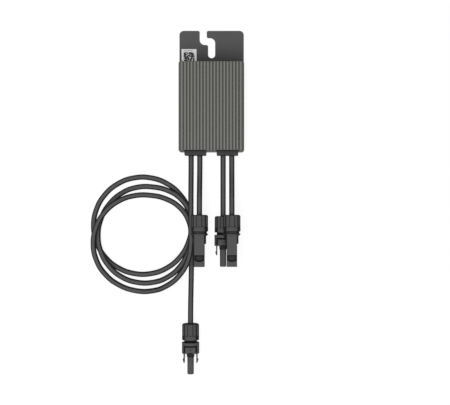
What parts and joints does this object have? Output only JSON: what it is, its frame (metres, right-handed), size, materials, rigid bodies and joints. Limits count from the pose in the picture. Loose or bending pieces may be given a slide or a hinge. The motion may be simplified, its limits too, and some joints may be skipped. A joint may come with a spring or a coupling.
{
  "type": "solar power optimizer",
  "caption": "Flat ribbed electronics housing on a slotted mounting plate, with plug-in leads for a solar module and its string, one of them long and loosely coiled.",
  "frame": {"origin": "centre of the bolt's seat in the mounting plate's slot, on the plate's back face", "axes": "+X across the housing, +Y along the ribs towards the slotted end, +Z out of the plate's back towards the rib crests; the part lies on its back and its leads lie on the same surface"},
  "size_m": [0.178, 0.3984, 0.0406],
  "materials": {
    "casting": "matte dark grey coating on a die casting, paler on the rib crests",
    "sheet": "matte dark grey coating on sheet metal",
    "screw_steel": "plain zinc plating",
    "label": "printed film label",
    "board": "green solder mask",
    "ferrite": "matte ferrite",
    "copper": "bare or enamelled copper",
    "capacitor": "moulded film capacitor case",
    "chip": "moulded semiconductor case",
    "pad": "soft filled silicone",
    "terminal": "tin plating",
    "gland": "matte black rubber",
    "jacket": "satin black cable jacket",
    "connector": "moulded black plastic",
    "seal": "matte black silicone",
    "contact": "tin-plated copper"
  },
  "bodies": {
    "root": {"ribbed_housing": "casting", "mounting_plate": "sheet", "plate_screws": "screw_steel", "id_label": "label", "circuit_board": "board", "board_screws": "screw_steel", "inductor_core": "ferrite", "inductor_winding": "copper", "input_capacitors": "capacitor", "output_capacitors": "capacitor", "power_transistors": "chip", "thermal_pad": "pad", "controller_chip": "chip", "signal_transformer": "ferrite", "cable_terminals": "terminal", "copper_cores": "copper", "left_gland": "gland", "right_gland": "gland", "long_lead": "jacket", "left_lead": "jacket", "rear_lead": "jacket", "front_lead": "jacket", "long_nut": "connector", "long_body": "connector", "long_seal": "seal", "long_socket": "contact", "long_ring": "seal", "left_nut": "connector", "left_body": "connector", "left_seal": "seal", "left_pin": "contact", "rear_nut": "connector", "rear_body": "connector", "rear_seal": "seal", "rear_socket": "contact", "rear_ring": "seal", "front_nut": "connector", "front_body": "connector", "front_seal": "seal", "front_pin": "contact"}
  },
  "joints": []
}
